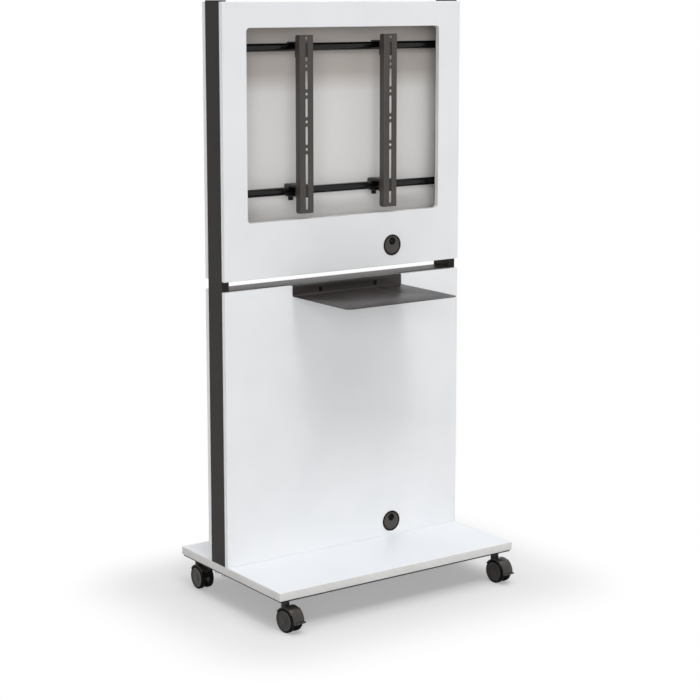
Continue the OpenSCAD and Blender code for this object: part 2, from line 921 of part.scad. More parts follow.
// Housing: the neck with the pin's socket, the hood over the wheels and two cheeks on the axle
module castor_housing() {
    hood_end = 180 - hood_rear_angle;
    color(castor_black)
        difference() {
            union() {
                difference() {
                    translate([0, 0, neck_foot_z])
                        cylinder(d = neck_d, h = neck_top_z - neck_foot_z);
                    axle_cut(hood_inner_r);
                }
                translate([0, -castor_offset, axle_z]) {
                    across_x(hood_w)
                        shell_shape(hood_inner_r, hood_r, hood_front_angle, hood_end);
                    for (s = [-1, 1])
                        translate([s * (web_slot_w + cheek_t) / 2, 0, 0])
                            across_x(cheek_t) {
                                shell_shape(axle_d / 2, hood_r - hood_t / 2, hood_front_angle, hood_end);
                                circle(boss_r);
                            }
                }
            }
            translate([0, 0, swivel_pin_foot_z])
                cylinder(r = swivel_pin_d / 2 + running_gap, h = castor_h - swivel_pin_foot_z);
            axle_cut(axle_d / 2);
        }
}

module castor_axle() {
    color(plain_steel)
        translate([0, -castor_offset, axle_z])
            across_x(axle_len)
                circle(d = axle_d);
}

// Turns a shape drawn as radius and distance from the castor's middle into a piece on the axle.
// The piece lies to the right of the middle where side is 1, and to the left where it is -1.
module turned_on_axle(side) {
    translate([0, -castor_offset, axle_z])
        rotate([0, side * 90, 0])
            rotate_extrude()
                children();
}

// Wheel: a hub on the axle, a closed outer face with a dish in it and a rim
module castor_wheel(side) {
    inner_x = wheel_gap / 2;
    outer_x = castor_w / 2;
    bore_r = axle_d / 2 + running_gap;
    bore_end_x = outer_x - wheel_face_t;
    dish_x = outer_x - wheel_dish;
    dish_r = rim_r - rim_t;
    color(castor_taupe)
        turned_on_axle(side)
            polygon([
                [bore_r, inner_x],
                [boss_r, inner_x],
                [boss_r, bore_end_x - wheel_dish],
                [dish_r, bore_end_x - wheel_dish],
                [dish_r, inner_x + wheel_dish],
                [rim_r, inner_x + wheel_dish],
                [rim_r, dish_x],
                [dish_r, outer_x],
                [dish_r - wheel_dish, dish_x],
                [0, dish_x],
                [0, bore_end_x],
                [bore_r, bore_end_x]
            ]);
}

// Rubber tread round a wheel's rim
module castor_tread(side) {
    tread_w = (castor_w - wheel_gap) / 2 - 2 * wheel_dish;
    color(castor_black)
        turned_on_axle(side)
            translate([rim_r, (castor_w + wheel_gap) / 4])
                intersection() {
                    rounded_rect(2 * tread_t, tread_w, tread_r);
                    translate([0, -tread_w / 2])
                        square([tread_t, tread_w]);
                }
}

// Brake pedal: a shell over the front of the treads, a tab to step on and a web on the axle
module castor_brake() {
    middle_r = pedal_outer_r - hood_t / 2;
    color(castor_taupe)
        difference() {
            translate([0, -castor_offset, axle_z]) {
                across_x(hood_w) {
                    shell_shape(pedal_inner_r, pedal_outer_r, 0, pedal_top_angle);
                    translate([-pedal_outer_r - pedal_tab_len, -pedal_tab_drop])
                        square([pedal_tab_len + hood_t / 2, pedal_tab_t]);
                }
                across_x(pedal_web_t) {
                    circle(boss_r);
                    translate([-middle_r, -pedal_tab_drop])
                        square([middle_r, pedal_tab_drop + boss_r / 2]);
                }
            }
            axle_cut(axle_d / 2 + running_gap);
        }
}

// Puts a castor's piece at its place under the base: side is 1 on the cart's right
module at_castor(side, y, turn) {
    translate([side * castor_x, y, 0])
        rotate([0, 0, turn])
            children();
}

module front_left() {
    at_castor(-1, front_castor_y, front_left_turn)
        children();
}

module front_right() {
    at_castor(1, front_castor_y, front_right_turn)
        children();
}

module rear_left() {
    at_castor(-1, rear_castor_y, 0)
        children();
}

module rear_right() {
    at_castor(1, rear_castor_y, 0)
        children();
}

base_board();
base_edging();
base_plate();
post(-1);  // left_post
post(1);  // right_post
post_caps();
cross_rail(gap_rail_top);  // gap_rail
cross_rail(panel_top_z - top_rail_drop);  // top_rail
front_lower_panel();
front_upper_panel();
rear_lower_panel();
rear_upper_panel();
window_edging();
display_tube(upper_tube_z);  // upper_tube
display_tube(lower_tube_z);  // lower_tube
tube_sockets();
laptop_shelf();
shelf_screws();
grommet(upper_panel_z + upper_grommet_rise);  // upper_grommet
grommet_cap(upper_panel_z + upper_grommet_rise);  // upper_grommet_cap
grommet(floor_of_column + lower_grommet_rise);  // lower_grommet
grommet_cap(floor_of_column + lower_grommet_rise);  // lower_grommet_cap
panel_brackets();
foot_bolts();
arm(left_arm_x);  // left_arm
arm_hooks(left_arm_x);  // left_arm_hooks
lock_screw(left_arm_x);  // left_lock_screw
arm(right_arm_x);  // right_arm
arm_hooks(right_arm_x);  // right_arm_hooks
lock_screw(right_arm_x);  // right_lock_screw
front_left() castor_stem();  // front_left_stem
front_left() castor_housing();  // front_left_housing
front_left() castor_axle();  // front_left_axle
front_left() castor_wheel(-1);  // front_left_outer_wheel
front_left() castor_tread(-1);  // front_left_outer_tread
front_left() castor_wheel(1);  // front_left_inner_wheel
front_left() castor_tread(1);  // front_left_inner_tread
front_left() castor_brake();  // front_left_brake
front_right() castor_stem();  // front_right_stem
front_right() castor_housing();  // front_right_housing
front_right() castor_axle();  // front_right_axle
front_right() castor_wheel(1);  // front_right_outer_wheel
front_right() castor_tread(1);  // front_right_outer_tread
front_right() castor_wheel(-1);  // front_right_inner_wheel
front_right() castor_tread(-1);  // front_right_inner_tread
front_right() castor_brake();  // front_right_brake
rear_left() castor_stem();  // rear_left_stem
rear_left() castor_housing();  // rear_left_housing
rear_left() castor_axle();  // rear_left_axle
rear_left() castor_wheel(-1);  // rear_left_outer_wheel
rear_left() castor_tread(-1);  // rear_left_outer_tread
rear_left() castor_wheel(1);  // rear_left_inner_wheel
rear_left() castor_tread(1);  // rear_left_inner_tread
rear_right() castor_stem();  // rear_right_stem
rear_right() castor_housing();  // rear_right_housing
rear_right() castor_axle();  // rear_right_axle
rear_right() castor_wheel(1);  // rear_right_outer_wheel
rear_right() castor_tread(1);  // rear_right_outer_tread
rear_right() castor_wheel(-1);  // rear_right_inner_wheel
rear_right() castor_tread(-1);  // rear_right_inner_tread
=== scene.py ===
# %% [markdown]
# # Dressing a mobile display cart
# The cart is a steel and board construction: two posts on a wheeled base board carry four white
# panels, and a display hangs on two slotted arms in the window of the upper panel.
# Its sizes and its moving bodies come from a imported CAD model, which is loaded here as a fixed
# frame. This file gives every surface its finish, and makes finer pieces where the plain solids
# lack the detail that a close look shows.

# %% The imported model
import json
import math

import bmesh
import bpy
from mathutils import Matrix, Vector


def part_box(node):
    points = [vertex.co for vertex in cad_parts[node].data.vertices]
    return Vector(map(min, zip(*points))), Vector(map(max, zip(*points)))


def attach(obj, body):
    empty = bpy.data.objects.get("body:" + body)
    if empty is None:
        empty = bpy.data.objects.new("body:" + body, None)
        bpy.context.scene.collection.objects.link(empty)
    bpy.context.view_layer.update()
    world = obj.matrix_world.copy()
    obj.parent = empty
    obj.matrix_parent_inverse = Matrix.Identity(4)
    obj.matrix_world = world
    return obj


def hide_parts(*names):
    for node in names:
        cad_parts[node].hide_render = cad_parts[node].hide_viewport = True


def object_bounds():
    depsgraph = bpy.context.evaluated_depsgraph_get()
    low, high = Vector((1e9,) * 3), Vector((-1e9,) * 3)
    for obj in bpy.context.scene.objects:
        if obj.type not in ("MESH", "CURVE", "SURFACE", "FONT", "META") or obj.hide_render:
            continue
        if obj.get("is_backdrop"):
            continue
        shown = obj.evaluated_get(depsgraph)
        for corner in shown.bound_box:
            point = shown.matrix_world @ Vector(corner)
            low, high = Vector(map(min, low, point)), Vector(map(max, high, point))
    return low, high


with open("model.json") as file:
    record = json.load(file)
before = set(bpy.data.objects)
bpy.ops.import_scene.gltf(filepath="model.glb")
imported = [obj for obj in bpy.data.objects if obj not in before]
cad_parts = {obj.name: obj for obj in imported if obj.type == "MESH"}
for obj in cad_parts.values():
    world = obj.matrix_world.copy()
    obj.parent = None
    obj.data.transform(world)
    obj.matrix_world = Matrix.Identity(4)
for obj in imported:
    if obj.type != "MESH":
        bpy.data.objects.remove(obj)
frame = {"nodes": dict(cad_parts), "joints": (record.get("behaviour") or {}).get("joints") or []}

cad_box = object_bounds()
nodes = frame["nodes"]
print("box in metres:", [round(side, 4) for side in cad_box[1] - cad_box[0]])

# %% [markdown]
# The sky is the whole room round the cart. It could be a photographed room, but an even white
# one shows each colour about as it is written, and it has no pictures in it. The camera, and
# gloss that mirrors the room, see it at full white. As a light it is weaker, so that the main
# lamp still models the shapes.

# %% White room
MM = 0.001
ROOM_LIGHT = 0.2

scene = bpy.context.scene
scene.view_settings.view_transform = "Standard"
room = bpy.data.worlds.new("white_room")
scene.world = room
room.use_nodes = True


def maths(tree, kind, *values):
    """One Math node. A value is a number or a socket."""
    node = tree.nodes.new("ShaderNodeMath")
    node.operation = kind
    for socket, value in zip(node.inputs, values):
        if isinstance(value, (int, float)):
            socket.default_value = value
        else:
            tree.links.new(value, socket)
    return node.outputs[0]


def seen_directly(tree):
    """1 for rays from the camera, a mirror gloss or glass, and 0 for light that bounces."""
    ray = tree.nodes.new("ShaderNodeLightPath").outputs
    mirrored = maths(tree, "MAXIMUM", ray["Is Camera Ray"], ray["Is Glossy Ray"])
    return maths(tree, "MAXIMUM", mirrored, ray["Is Transmission Ray"])


def set_room(tree):
    """Full white where the room is seen, and a weaker white where it lights."""
    sky = tree.nodes["Background"]
    sky.inputs["Color"].default_value = (1, 1, 1, 1)
    strength = tree.nodes.new("ShaderNodeMapRange")
    strength.inputs["To Min"].default_value = ROOM_LIGHT
    strength.inputs["To Max"].default_value = 1.0
    tree.links.new(seen_directly(tree), strength.inputs["Value"])
    tree.links.new(strength.outputs["Result"], sky.inputs["Strength"])


set_room(room.node_tree)
print("room light:", ROOM_LIGHT)

# %% [markdown]
# Three lamps light the cart. The main one stands above and in front of it, and its light throws
# the window frame's shade on the rear panel. A wide fill from the camera's side keeps the panels
# even above and below the shelf, and hides its own shadows behind what throws them. A wide lamp
# overhead makes the base the brightest part, as in the photograph. All are sun lamps: a spot or an
# area lamp would also do, but a sun has one even strength over the whole cart and floor.

# %% Lamps
LAMPS = {
    "main": {"strength": 0.55, "disc": 16, "comes_from": (-0.12, -0.568, 1.0)},
    "fill": {"strength": 2.1, "disc": 45, "comes_from": (-0.578, -0.816, 0.03)},
    "overhead": {"strength": 1.6, "disc": 60, "comes_from": (0, -0.15, 1.0)},
}


def soft_lamp(name, strength, disc, comes_from):
    """A sun lamp whose disc is so many degrees wide."""
    light = bpy.data.lights.new(name, "SUN")
    light.energy = strength
    light.angle = math.radians(disc)
    stand = bpy.data.objects.new(name, light)
    stand.rotation_euler = Vector(comes_from).to_track_quat("Z", "Y").to_euler()
    scene.collection.objects.link(stand)


for lamp, settings in LAMPS.items():
    soft_lamp(lamp, **settings)
print("lamps:", {lamp: settings["strength"] for lamp, settings in LAMPS.items()})

# %% [markdown]
# The camera stands to the left of the cart, a little above the top of it, with a long lens that
# keeps the uprights nearly parallel. Its place was worked out from the corners of the cart in the
# photograph, and the small shift is what is left of the photograph's cropping.

# %% Camera
CAMERA_PLACE = (-3.2867, -4.6328, 1.8920)
CAMERA_PITCH = math.radians(90 - 9.212)
CAMERA_HEADING = math.radians(-35.33)
SENSOR_WIDTH = 36
FOCAL_LENGTH = 93.69
SHIFT_UP = -0.0874
CART_MIDDLE = Vector((0, 0, 1))

lens = bpy.data.cameras.new("camera")
lens.sensor_width = SENSOR_WIDTH
lens.lens = FOCAL_LENGTH
lens.shift_y = SHIFT_UP
camera = bpy.data.objects.new("camera", lens)
camera.location = CAMERA_PLACE
camera.rotation_euler = (CAMERA_PITCH, 0, CAMERA_HEADING)
scene.collection.objects.link(camera)
scene.camera = camera
print("camera to cart:", round((Vector(CAMERA_PLACE) - CART_MIDDLE).length, 2), "m")

# %% [markdown]
# A finish is a material made of nodes. Each one starts from Blender's Principled shader, where
# the values that are the same all over are set on the shader's own sockets. Patterns are read on
# Object coordinates, so they stay on the piece when it moves. The helpers below are the few steps
# that all finishes share: a speckle pattern, a colour between two tones, gloss between two
# values, and a fine relief.

# %% Helpers for finishes
COLOUR_EDGE = 0.2 * MM


def paint(red, green, blue):
    """A screen colour of 0 to 255 as the linear colour that a shader takes."""
    tones = [value / 255 for value in (red, green, blue)]
    return (*[t / 12.92 if t <= 0.04045 else ((t + 0.055) / 1.055) ** 2.4 for t in tones], 1)


def shader_of(finish):
    return finish.node_tree.nodes["Principled BSDF"]


def new_finish(name, metal=0.0, shine=0.5):
    """A material with a Principled shader. Shine is how strongly its surface mirrors."""
    finish = bpy.data.materials.new(name)
    finish.use_nodes = True
    shader_of(finish).inputs["Metallic"].default_value = metal
    shader_of(finish).inputs["Specular IOR Level"].default_value = shine
    return finish


def speckle(finish, per_metre, detail=3.0, stretch=(1, 1, 1)):
    """A noise pattern on the piece itself, with so many spots in a metre."""
    tree = finish.node_tree
    where = tree.nodes.new("ShaderNodeTexCoord")
    mapping = tree.nodes.new("ShaderNodeMapping")
    mapping.inputs["Scale"].default_value = stretch
    noise = tree.nodes.new("ShaderNodeTexNoise")
    noise.inputs["Scale"].default_value = per_metre
    noise.inputs["Detail"].default_value = detail
    tree.links.new(where.outputs["Object"], mapping.inputs["Vector"])
    tree.links.new(mapping.outputs["Vector"], noise.inputs["Vector"])
    return noise.outputs[0]


def between(finish, pattern, low, high, start=0.35, end=0.65):
    """Stretches a pattern's middle values to a range from low to high."""
    tree = finish.node_tree
    spread = tree.nodes.new("ShaderNodeMapRange")
    spread.inputs["From Min"].default_value = start
    spread.inputs["From Max"].default_value = end
    spread.inputs["To Min"].default_value = low
    spread.inputs["To Max"].default_value = high
    tree.links.new(pattern, spread.inputs["Value"])
    return spread.outputs["Result"]


def mixed(finish, share, one, other):
    """A colour between two, where each is a colour or another colour's socket."""
    tree = finish.node_tree
    mix = tree.nodes.new("ShaderNodeMix")
    mix.data_type = "RGBA"
    sockets = [s for s in mix.inputs if s.type == "RGBA"]
    tree.links.new(share, mix.inputs[0])
    for socket, colour in zip(sockets, (one, other)):
        if isinstance(colour, tuple):
            socket.default_value = colour
        else:
            tree.links.new(colour, socket)
    return [s for s in mix.outputs if s.type == "RGBA"][0]


def split_place(finish, axis):
    """Where a point lies along one of the piece's own axes, in metres."""
    tree = finish.node_tree
    where = tree.nodes.new("ShaderNodeTexCoord")
    split = tree.nodes.new("ShaderNodeSeparateXYZ")
    tree.links.new(where.outputs["Object"], split.inputs[0])
    return split.outputs[axis]


def past(finish, axis, level):
    """0 before a level on one of the piece's own axes, in metres, and 1 past it."""
    place = split_place(finish, axis)
    return between(finish, place, 0, 1, level - COLOUR_EDGE, level + COLOUR_EDGE)


def set_colour(finish, colour):
    finish.node_tree.links.new(colour, shader_of(finish).inputs["Base Color"])


def set_gloss(finish, roughness):
    """Takes a roughness: 0 mirrors and 1 is matt."""
    finish.node_tree.links.new(roughness, shader_of(finish).inputs["Roughness"])


def set_relief(finish, pattern, depth, strength=1.0):
    """A fine relief of so many metres, which the light feels but the outline doesn't show."""
    tree = finish.node_tree
    bump = tree.nodes.new("ShaderNodeBump")
    bump.inputs["Distance"].default_value = depth
    bump.inputs["Strength"].default_value = strength
    tree.links.new(pattern, bump.inputs["Height"])
    tree.links.new(bump.outputs["Normal"], shader_of(finish).inputs["Normal"])


print("white paint in the shader:", [round(part, 3) for part in paint(240, 241, 243)])

# %% [markdown]
# The boards are chipboard with a white melamine skin, pressed against a plate with a very fine
# pearl texture. So the skin has a soft sheen that breaks up a little, almost no colour change,
# and a relief of a few hundredths of a millimetre. The base is whiter, as the photograph shows it:
# partly a whiter decor, and partly painted light for its top, which the lamps light most. The rear
# panels turn their plainer back skin, which is a little duller, inwards.
# Behind the head of the window that skin carries a painted shade, darker and browner towards the
# top: the closed top of the column keeps the light away there, deeper than these lamps show it, so
# part of that shade is painted into the colour.

# %% White boards
BACK_SKIN = paint(232, 230, 228)
BACK_SHADE = paint(202, 195, 189)
SHADE_START = 145 * MM
SHADE_END = 205 * MM
SKIN_DEPTH = 1 * MM
WHITE_TONES = (paint(240, 241, 243), paint(236, 238, 240))

rear_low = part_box("rear_upper_panel")[0]
window_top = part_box("window_edging")[1].z


def board_finish(name, light, dark, back_ends_at=None):
    """White melamine. What lies before a place along Y can show the back skin and its painted
    shade.
    """
    finish = new_finish(name)
    cloud = speckle(finish, per_metre=5, detail=2)
    pearl = speckle(finish, per_metre=1400, detail=2)
    colour = mixed(finish, between(finish, cloud, 0, 1), light, dark)
    if back_ends_at:
        # painted shade: the back skin turns darker and browner towards the head of the window
        height = split_place(finish, "Z")
        shade = between(finish, height, 0, 1,
                        start=window_top - SHADE_END, end=window_top - SHADE_START)
        back = mixed(finish, shade, BACK_SKIN, BACK_SHADE)
        colour = mixed(finish, past(finish, "Y", back_ends_at), back, colour)
    set_colour(finish, colour)
    set_gloss(finish, between(finish, pearl, low=0.36, high=0.48))
    set_relief(finish, pearl, depth=0.04 * MM, strength=0.35)
    return finish


WHITE_BOARD = board_finish("white_board", *WHITE_TONES)
REAR_BOARD = board_finish("rear_board", *WHITE_TONES, back_ends_at=rear_low.y + SKIN_DEPTH)
# the base's whiter tone is partly painted light for its top
BASE_BOARD = board_finish("base_board_white", paint(243, 246, 250), paint(241, 244, 248))
print("finishes:", WHITE_BOARD.name, REAR_BOARD.name, BASE_BOARD.name)

# %% [markdown]
# The cut edges of the boards are closed with plastic bands in light grey. Such a band is cut from
# a roll and scraped flush, which leaves fine lines along it, so its speckle is stretched along the
# edge.

# %% Edge bands
def band_finish(name, light, dark, stretch):
    finish = new_finish(name)
    scraped = speckle(finish, per_metre=500, detail=2, stretch=stretch)
    cloud = speckle(finish, per_metre=12, detail=2)
    set_colour(finish, mixed(finish, between(finish, cloud, 0, 1), light, dark))
    set_gloss(finish, between(finish, scraped, low=0.38, high=0.55))
    set_relief(finish, scraped, depth=0.03 * MM, strength=0.4)
    return finish


BASE_BAND = band_finish(
    "base_edge_band", paint(221, 220, 218), paint(214, 213, 211), stretch=(0.05, 0.05, 1))
WINDOW_BAND = band_finish(
    "window_edge_band", paint(222, 221, 220), paint(214, 213, 212), stretch=(1, 0.05, 1))
print("finishes:", BASE_BAND.name, WINDOW_BAND.name)

# %% [markdown]
# The steel parts are powder coated: the melted powder leaves an orange-peel skin of small soft
# bumps. The posts, the hooks and the shelf are a dark brownish grey, the arms and the cross rail a
# lighter one. One function makes them all, with the tones, the size of the bumps and the sheen as
# its values.

# %% Powder coats
def powder_finish(name, light, dark, sheen=(0.34, 0.46), peel=900, shine=0.5):
    finish = new_finish(name, shine=shine)
    cloud = speckle(finish, per_metre=14, detail=4)
    skin = speckle(finish, per_metre=peel, detail=1)
    set_colour(finish, mixed(finish, between(finish, cloud, 0, 1), light, dark))
    set_gloss(finish, between(finish, skin, *sheen))
    set_relief(finish, skin, depth=0.06 * MM, strength=0.5)
    return finish


POST_COAT = powder_finish("post_coat", paint(36, 32, 29), paint(31, 28, 26), shine=0.16)
RAIL_COAT = powder_finish("rail_coat", paint(74, 69, 66), paint(67, 63, 60))
ARM_COAT = powder_finish("arm_coat", paint(64, 58, 55), paint(58, 53, 50))
HOOK_COAT = powder_finish("hook_coat", paint(40, 37, 35), paint(34, 32, 30), shine=0.4)
SHELF_COAT = powder_finish(
    "shelf_coat", paint(45, 41, 39), paint(39, 36, 34), sheen=(0.28, 0.38), shine=0.3)
print("finishes:", POST_COAT.name, RAIL_COAT.name, ARM_COAT.name, HOOK_COAT.name, SHELF_COAT.name)

# %% [markdown]
# The tubes are lacquered in gloss black, which mirrors the room in one bright line along them.
# Where the arm hooks have been slid along, the lacquer is rubbed a little duller, so its gloss
# varies in wide soft rings.

# %% Gloss black lacquer
def lacquer_finish(name, stretch):
    finish = new_finish(name, shine=0.3)
    rings = speckle(finish, per_metre=40, detail=2, stretch=stretch)
    cloud = between(finish, speckle(finish, per_metre=20, detail=2), 0, 1)
    set_colour(finish, mixed(finish, cloud, paint(7, 7, 8), paint(11, 10, 10)))
    set_gloss(finish, between(finish, rings, low=0.12, high=0.2))
    set_relief(finish, rings, depth=0.01 * MM, strength=0.1)
    return finish


TUBE_LACQUER = lacquer_finish("tube_lacquer", stretch=(1, 0.02, 0.02))
print("finish:", TUBE_LACQUER.name)

# %% [markdown]
# The plate under the base is rolled steel with a thin satin black paint, which the shelf's screws
# share. Bolts, axles and the brackets inside the column are zinc plated, a pale metal whose small
# crystals give a faint patchiness.

# %% Steel finishes
def plated_finish(name, light, dark):
    finish = new_finish(name, metal=1.0)
    crystals = speckle(finish, per_metre=260, detail=4)
    set_colour(finish, mixed(finish, between(finish, crystals, 0, 1), light, dark))
    set_gloss(finish, between(finish, crystals, low=0.28, high=0.46))
    set_relief(finish, crystals, depth=0.02 * MM, strength=0.4)
    return finish


ZINC = plated_finish("zinc_plating", paint(196, 197, 199), paint(172, 173, 174))
BLACK_STEEL = powder_finish(
    "black_steel", paint(15, 15, 16), paint(11, 11, 12), sheen=(0.4, 0.55), peel=500, shine=0.25)
print("finishes:", ZINC.name, BLACK_STEEL.name)

# %% [markdown]
# Moulded plastic has a spark-eroded skin, finer and more even than powder coat. The castors are
# dark grey with a little dust in their texture, and black above the hood: partly their own black
# neck, and partly painted shade from the base above it. The grommets' rings and the knobs are
# nearly black, and their caps dark grey.

# %% Moulded plastics
FLOOR_DUST = paint(150, 146, 140)
NECK_BLACK_AND_SHADE = paint(8, 8, 8)
HOOD_TOP = 79.5 * MM


def moulded_finish(name, light, dark, sheen, dust_share=0.0, shine=0.5, black_and_shade_above=None):
    """Moulded plastic, with dust in its texture. What lies above a height can be black, partly as
    painted shade.
    """
    finish = new_finish(name, shine=shine)
    cloud = speckle(finish, per_metre=30, detail=3)
    skin = speckle(finish, per_metre=1600, detail=1)
    colour = mixed(finish, between(finish, cloud, 0, 1), light, dark)
    if dust_share:
        patches = speckle(finish, per_metre=55, detail=6)
        dusty = between(finish, patches, 0, dust_share, start=0.5, end=0.75)
        colour = mixed(finish, dusty, colour, FLOOR_DUST)
    # painted black above a height, partly painted shade under the base
    if black_and_shade_above:
        colour = mixed(finish, past(finish, "Z", black_and_shade_above), colour, NECK_BLACK_AND_SHADE)
    set_colour(finish, colour)
    set_gloss(finish, between(finish, skin, *sheen))
    set_relief(finish, skin, depth=0.05 * MM, strength=0.4)
    return finish


CASTOR_PLASTIC = moulded_finish(
    "castor_plastic", paint(46, 42, 39), paint(38, 35, 33), sheen=(0.24, 0.36),
    dust_share=0.05, shine=0.35)
HOOD_PLASTIC = moulded_finish(
    "hood_plastic", paint(56, 50, 46), paint(48, 43, 40), sheen=(0.22, 0.34),
    dust_share=0.05, shine=0.4, black_and_shade_above=HOOD_TOP)
BLACK_PLASTIC = moulded_finish(
    "black_plastic", paint(16, 15, 15), paint(12, 11, 11), sheen=(0.38, 0.5), shine=0.15)
CAP_PLASTIC = moulded_finish(
    "cap_plastic", paint(68, 63, 59), paint(61, 57, 53), sheen=(0.42, 0.55), shine=0.4)
print("finishes:", CASTOR_PLASTIC.name, HOOD_PLASTIC.name, BLACK_PLASTIC.name, CAP_PLASTIC.name)

# %% [markdown]
# The treads are soft black rubber. Rubber is matt, and where it rolls it picks up pale dust. The
# membranes and the strip further down, both painted shade, have the same finish.

# %% Rubber
def rubber_finish(name):
    finish = new_finish(name, shine=0.08)
    skin = speckle(finish, per_metre=700, detail=3)
    patches = speckle(finish, per_metre=90, detail=6)
    dusty = between(finish, patches, low=0, high=0.05, start=0.48, end=0.75)
    black = mixed(finish, between(finish, skin, 0, 1), paint(9, 9, 9), paint(14, 14, 14))
    set_colour(finish, mixed(finish, dusty, black, FLOOR_DUST))
    set_gloss(finish, between(finish, skin, low=0.62, high=0.82))
    set_relief(finish, skin, depth=0.08 * MM, strength=0.5)
    return finish


RUBBER = rubber_finish("tread_rubber")
print("finish:", RUBBER.name)

# %% [markdown]
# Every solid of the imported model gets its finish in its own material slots. Its shape isn't
# touched. Some of these solids are replaced further down by finer pieces, and keep their finish
# only as a stand-in.

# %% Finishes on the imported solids
CASTORS = ("front_left", "front_right", "rear_left", "rear_right")
FINISH_OF = {
    WHITE_BOARD: ["front_lower_panel", "front_upper_panel"],
    REAR_BOARD: ["rear_lower_panel", "rear_upper_panel"],
    BASE_BOARD: ["base_board"],
    BASE_BAND: ["base_edging"],
    WINDOW_BAND: ["window_edging"],
    POST_COAT: ["left_post", "right_post", "top_rail"],
    RAIL_COAT: ["gap_rail"],
    ARM_COAT: ["left_arm", "right_arm"],
    HOOK_COAT: ["left_arm_hooks", "right_arm_hooks"],
    SHELF_COAT: ["laptop_shelf"],
    TUBE_LACQUER: ["upper_tube", "lower_tube"],
    BLACK_STEEL: ["base_plate", "shelf_screws"],
    ZINC: ["panel_brackets", "foot_bolts"] + [
        f"{c}_{part}" for c in CASTORS for part in ("stem", "axle")],
    BLACK_PLASTIC: ["post_caps", "tube_sockets", "upper_grommet", "lower_grommet",
                    "left_lock_screw", "right_lock_screw"],
    CAP_PLASTIC: ["upper_grommet_cap", "lower_grommet_cap"],
    HOOD_PLASTIC: [f"{c}_housing" for c in CASTORS] + ["front_left_brake", "front_right_brake"],
    CASTOR_PLASTIC: [f"{c}_{s}_wheel" for c in CASTORS for s in ("outer", "inner")],
    RUBBER: [f"{c}_{s}_tread" for c in CASTORS for s in ("outer", "inner")],
}
for finish, names in FINISH_OF.items():
    for name in names:
        for place in nodes[name].material_slots:
            place.material = finish
unfinished = set(nodes) - {name for names in FINISH_OF.values() for name in names}
print("solids with a finish:", len(nodes) - len(unfinished), "without:", sorted(unfinished))

# %% [markdown]
# A node's object can carry modifiers, but a cleaner way to break a solid's sharp edges is a copy
# of it: the loose triangles are merged, flat faces are made whole again, and a Bevel modifier
# rounds what is left as an edge. The copy then stands for the solid. The helpers here are used for
# that and for the pieces that start from a primitive.

# %% Helpers for modelling
SMOOTH_ANGLE = math.radians(32)
FLAT_ANGLE = math.radians(0.6)
MERGE = 0.01 * MM
UPRIGHT = 0.99
LEVEL = 0.1
FACING = 0.9


def work_on(piece, mode="OBJECT"):
    """Makes a piece the only selected and active object, in object or edit mode."""
    if bpy.context.object and bpy.context.object.mode != "OBJECT":
        bpy.ops.object.mode_set(mode="OBJECT")
    bpy.ops.object.select_all(action="DESELECT")
    piece.select_set(True)
    bpy.context.view_layer.objects.active = piece
    if mode == "EDIT":
        bpy.ops.object.mode_set(mode="EDIT")


def start(name, add, **sizes):
    """Adds a primitive with nothing else selected, and gives it its name."""
    bpy.ops.object.select_all(action="DESELECT")
    add(**sizes)
    piece = bpy.context.object
    piece.name = piece.data.name = name
    return piece


def pick(piece, kind, test):
    """In edit mode, selects only the corners, edges or faces whose place passes the test.

    The test gets the middle, and a corner's or face's normal or an edge's direction.
    """
    bpy.ops.mesh.select_mode(type=kind)
    bpy.ops.mesh.select_all(action="DESELECT")
    mesh = bmesh.from_edit_mesh(piece.data)
    if kind == "FACE":
        for face in mesh.faces:
            face.select_set(test(face.calc_center_median(), face.normal))
    elif kind == "EDGE":
        for edge in mesh.edges:
            ends = [v.co for v in edge.verts]
            edge.select_set(test((ends[0] + ends[1]) / 2, (ends[1] - ends[0]).normalized()))
    else:
        for corner in mesh.verts:
            corner.select_set(test(corner.co, corner.normal))
    mesh.select_flush_mode()
    bmesh.update_edit_mesh(piece.data)


def modify(piece, kind, **settings):
    """Adds a modifier and applies it."""
    work_on(piece)
    step = piece.modifiers.new(kind.lower(), kind)
    for setting, value in settings.items():
        setattr(step, setting, value)
    bpy.ops.object.modifier_apply(modifier=step.name)


def apply_place():
    """Moves the active piece's place, turn and scale into its mesh."""
    bpy.ops.object.transform_apply(location=True, rotation=True, scale=True)


def hand_over(piece, finish, body, slot, *stands_for):
    """Smooths a piece, gives it its finish and body, and lets it stand for its CAD nodes."""
    work_on(piece)
    apply_place()
    bpy.ops.object.shade_smooth_by_angle(angle=SMOOTH_ANGLE)
    if finish:
        piece.data.materials.clear()
        piece.data.materials.append(finish)
    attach(piece, body)
    if stands_for:
        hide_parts(*stands_for)
    return piece


def placed_copy(piece, name, place):
    """A copy with a mesh of its own, moved to its place within the mesh."""
    copy = bpy.data.objects.new(name, piece.data.copy())
    copy.data.name = name
    copy.data.transform(place)
    scene.collection.objects.link(copy)
    return copy


def copy_of_solid(node, name):
    """A clean copy of a CAD node's mesh: merged, with whole flat faces, and open in edit mode."""
    copy = bpy.data.objects.new(name, nodes[node].data.copy())
    copy.data.name = name
    scene.collection.objects.link(copy)
    work_on(copy)
    bpy.ops.mesh.customdata_custom_splitnormals_clear()
    work_on(copy, "EDIT")
    bpy.ops.mesh.select_all(action="SELECT")
    bpy.ops.mesh.remove_doubles(threshold=MERGE)
    bpy.ops.mesh.dissolve_limited(angle_limit=FLAT_ANGLE)
    return copy


def break_edges(piece, width, segments=2, angle=35):
    """Rounds every edge that is sharper than the angle, in degrees."""
    modify(piece, "BEVEL", width=width, segments=segments, limit_method="ANGLE",
           angle_limit=math.radians(angle), use_clamp_overlap=True)


def join(piece, *others):
    """Joins other pieces into one, which keeps its name."""
    work_on(piece)
    for other in others:
        other.select_set(True)
    bpy.ops.object.join()


